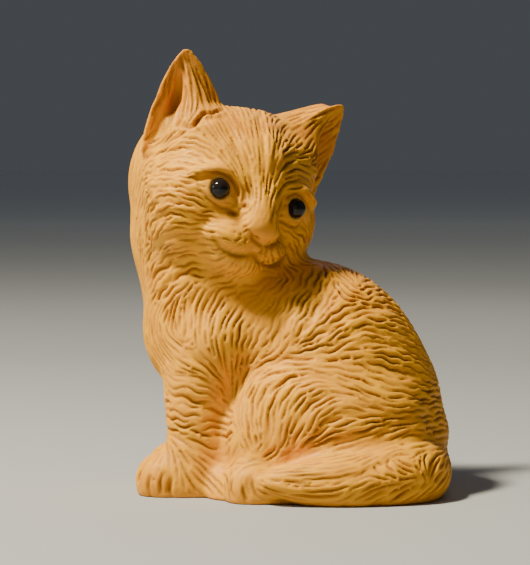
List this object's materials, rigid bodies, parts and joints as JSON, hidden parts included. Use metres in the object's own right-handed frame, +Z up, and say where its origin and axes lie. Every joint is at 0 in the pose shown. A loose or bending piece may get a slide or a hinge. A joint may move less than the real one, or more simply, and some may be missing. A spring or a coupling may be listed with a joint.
{
  "type": "cat figurine",
  "caption": "Seated kitten figurine carved with fur all over, tail curled round its hip, looking back over its shoulder with glass bead eyes.",
  "frame": {"origin": "on the flat underside, under the middle of the trunk", "axes": "+Z up; the kitten's chest and fore paws face -X and its rump +X; its tail lies along the -Y side, towards which the face turns"},
  "size_m": [0.0988, 0.0754, 0.1345],
  "materials": {
    "carved_wood": "satin, waxed, darker in the grooves",
    "black_glass": "polished"
  },
  "bodies": {
    "root": {"kitten_body": "carved_wood", "bead_eye_near": "black_glass", "bead_eye_far": "black_glass"}
  },
  "joints": []
}
